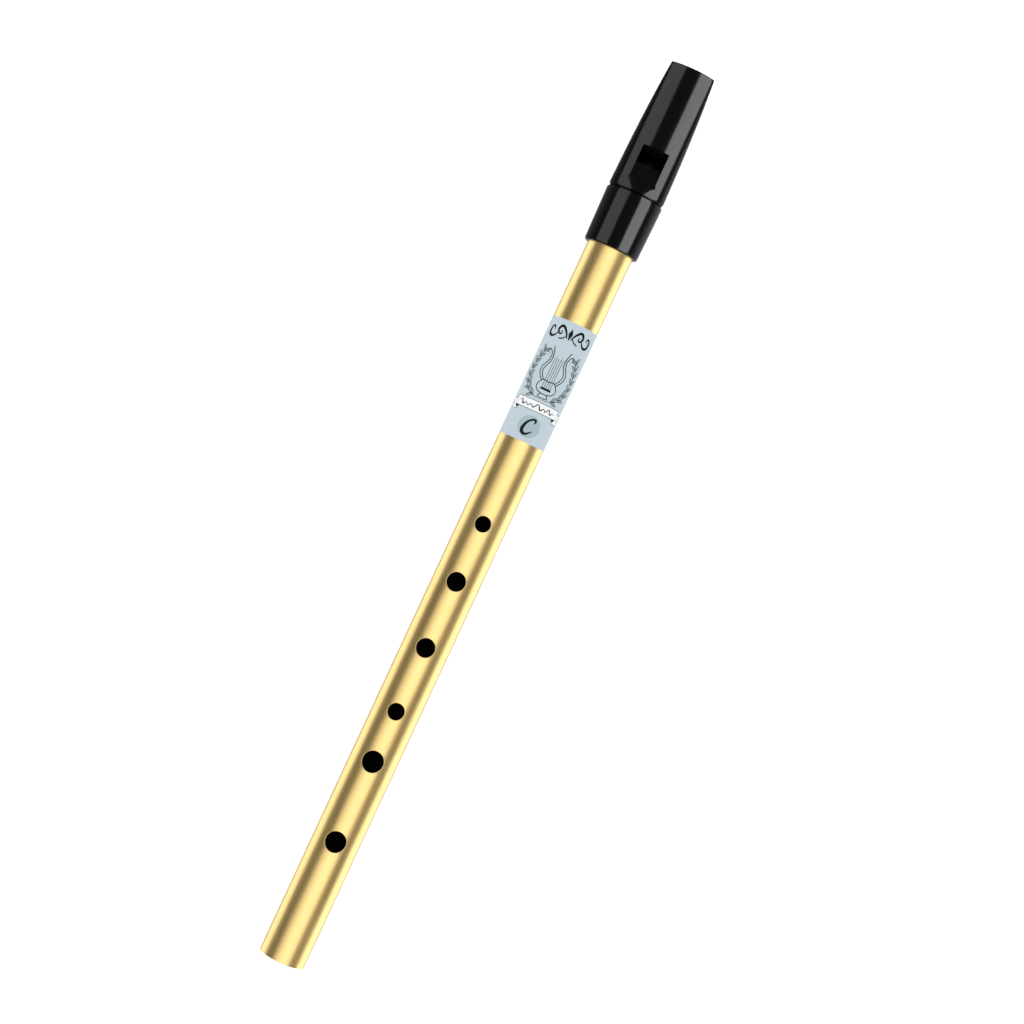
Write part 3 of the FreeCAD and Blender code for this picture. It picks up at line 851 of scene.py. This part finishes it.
# Satin ABS: the block comes off an unpolished mould, so it is greyer and duller than the shell,
# with a spark-eroded texture of about 0.2 mm.
satin, tree, shader = new_finish("satin_black_abs", IOR=1.4)
place = add_node(tree, "ShaderNodeTexCoord", {}).outputs["Object"]
grit = 0.2 * MM
texture = add_node(
    tree, "ShaderNodeTexNoise", {"Vector": place, "Scale": 1 / grit, "Detail": 3.0}
).outputs[0]
shade = add_node(
    tree, "ShaderNodeMix",
    {"Factor": texture, 6: linear("#060606"), 7: linear("#0C0C0D")},
    {"data_type": "RGBA"},
).outputs[2]
softness = add_node(
    tree, "ShaderNodeMapRange", {"Value": texture, "To Min": 0.34, "To Max": 0.5}
).outputs[0]
relief = add_node(
    tree, "ShaderNodeBump", {"Height": texture, "Strength": 0.2, "Distance": 0.02 * MM}
).outputs[0]
tree.links.new(shade, shader.inputs["Base Color"])
tree.links.new(softness, shader.inputs["Roughness"])
tree.links.new(relief, shader.inputs["Normal"])

block = finish_piece(
    "fipple_block_wedge", block_mesh, satin, "mouthpiece_body", "block_plastic", "fipple_block"
)

# ------------------------------------------------------------------ studio
# A plain white table and a pale room. A large softbox hangs over the brass and another over the
# label, and two long strips beside them give the black plastic its pair of highlights.

floor_size = 6.0
floor_mesh = bmesh.new()
bmesh.ops.create_grid(floor_mesh, x_segments=1, y_segments=1, size=floor_size / 2)
floor_data = bpy.data.meshes.new("table_top")
floor_mesh.to_mesh(floor_data)
floor_mesh.free()
floor = bpy.data.objects.new("table_top", floor_data)
bpy.context.scene.collection.objects.link(floor)

# Matt white laminate: it gives no reflection of its own, and shows in none.
laminate, _, _ = new_finish(
    "white_table", Roughness=0.9, Specular_IOR_Level=0.0, Base_Color=linear("#F4F4F4")
)
floor_data.materials.append(laminate)
floor.visible_glossy = False
floor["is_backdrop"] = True

scene = bpy.context.scene
world = bpy.data.worlds.new("room")
world.use_nodes = True
scene.world = world
air = world.node_tree
room = air.nodes["Background"]
room.inputs["Color"].default_value = (1, 1, 1, 1)

# The room is white to the eye but dim to the pieces, so that they reflect mostly the lights. It
# is darkest overhead, paler towards the table, and palest on the side of the stronger strip.
way = add_node(air, "ShaderNodeTexCoord", {}).outputs["Generated"]
split = add_node(air, "ShaderNodeSeparateXYZ", {"Vector": way}).outputs
below = add_node(
    air, "ShaderNodeMapRange",
    {"Value": split["Y"], "From Min": -0.6, "From Max": 0.6, "To Min": 0.6, "To Max": 0.22},
).outputs[0]
dimmed = add_node(
    air, "ShaderNodeMapRange",
    {"Value": split["Z"], "From Min": 0.0, "From Max": -0.35, "To Min": 0.12, "To Max": below},
).outputs[0]
seen = add_node(air, "ShaderNodeLightPath", {}).outputs["Is Camera Ray"]
strength = add_node(
    air, "ShaderNodeMapRange", {"Value": seen, "To Min": dimmed, "To Max": 1.0}
).outputs[0]
air.links.new(strength, room.inputs["Strength"])


def hang_light(name, lit, width, length, turned, distance, radiance, aside=0.0):
    """A soft light along the whistle, turned about its axis from straight above, on some pieces."""
    lamp = bpy.data.lights.new(name, "AREA")
    lamp.shape = "RECTANGLE"
    lamp.size, lamp.size_y = length, width
    lamp.energy = math.pi * width * length * radiance
    light = bpy.data.objects.new(name, lamp)
    turn = Matrix.Rotation(turned, 4, "X")
    out = Matrix.Translation((0, aside, distance))
    light.matrix_world = Matrix.Translation((0, 0, axis_z)) @ turn @ out
    light.visible_camera = False
    scene.collection.objects.link(light)
    group = bpy.data.collections.new(name)
    for piece in lit:
        group.objects.link(piece)
    light.light_linking.receiver_collection = group


own_shade = 18 * MM                   # half the width of table that the tube keeps the light off
table_half = 1.5
printed = [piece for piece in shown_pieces() if piece.name.startswith(("printed", "vinyl"))]
hang_light("brass_softbox", [tube], 1.17, 3.0, math.radians(15), 1.2, 1.36)
hang_light("brass_side_box", [tube], 0.51, 3.0, math.radians(-23), 1.25, 0.88)
hang_light("brass_left_fill", [tube], 1.4, 3.0, math.radians(-65), 1.3, 0.015)
hang_light("brass_right_fill", [tube], 1.4, 3.0, math.radians(65), 1.3, 0.075)
for side in (-1, 1):
    hang_light(
        "brass_table_glow", [tube], table_half, 3.0, math.pi, axis_z - 0.2 * MM, 1.25,
        side * (table_half / 2 + own_shade),
    )
hang_light("label_softbox", printed, 2.4, 3.0, 0.0, 1.5, 1.72)
hang_light("left_strip", [shell, block], 0.92, 2.4, math.radians(-48.8), 1.0, 1.65)
hang_light("right_strip", [shell, block], 0.82, 2.4, math.radians(49.2), 1.0, 5.4)

# A sky of soft light on the table alone, so that it stays white right to its edge.
sky = bpy.data.lights.new("table_sky", "SUN")
sky.energy = 6.5
sky.angle = math.radians(100)
overhead = bpy.data.objects.new("table_sky", sky)
scene.collection.objects.link(overhead)
under_sky = bpy.data.collections.new("table_sky")
under_sky.objects.link(floor)
overhead.light_linking.receiver_collection = under_sky

# ------------------------------------------------------------------ camera
# It looks straight down from 0.79 m above the whistle's axis, turned so that the whistle leans.

lean = math.radians(24.88)
camera_height = 0.79
picture_up = Vector((math.cos(lean), math.sin(lean), 0))
picture_right = Vector((math.sin(lean), -math.cos(lean), 0))
lens = bpy.data.cameras.new("camera")
lens.sensor_width = 36
lens.lens = 80.8
lens.clip_start = 0.01
camera = bpy.data.objects.new("camera", lens)
middle = (cad_low + cad_high) / 2
spot = Vector((middle.x, middle.y, axis_z + camera_height))
spot += 8.63 * MM * picture_right + 1.44 * MM * picture_up
stand = Matrix((picture_right, picture_up, (0, 0, 1))).transposed().to_4x4()
camera.matrix_world = Matrix.Translation(spot) @ stand
scene.collection.objects.link(camera)
scene.camera = camera
scene.view_settings.view_transform = "Standard"
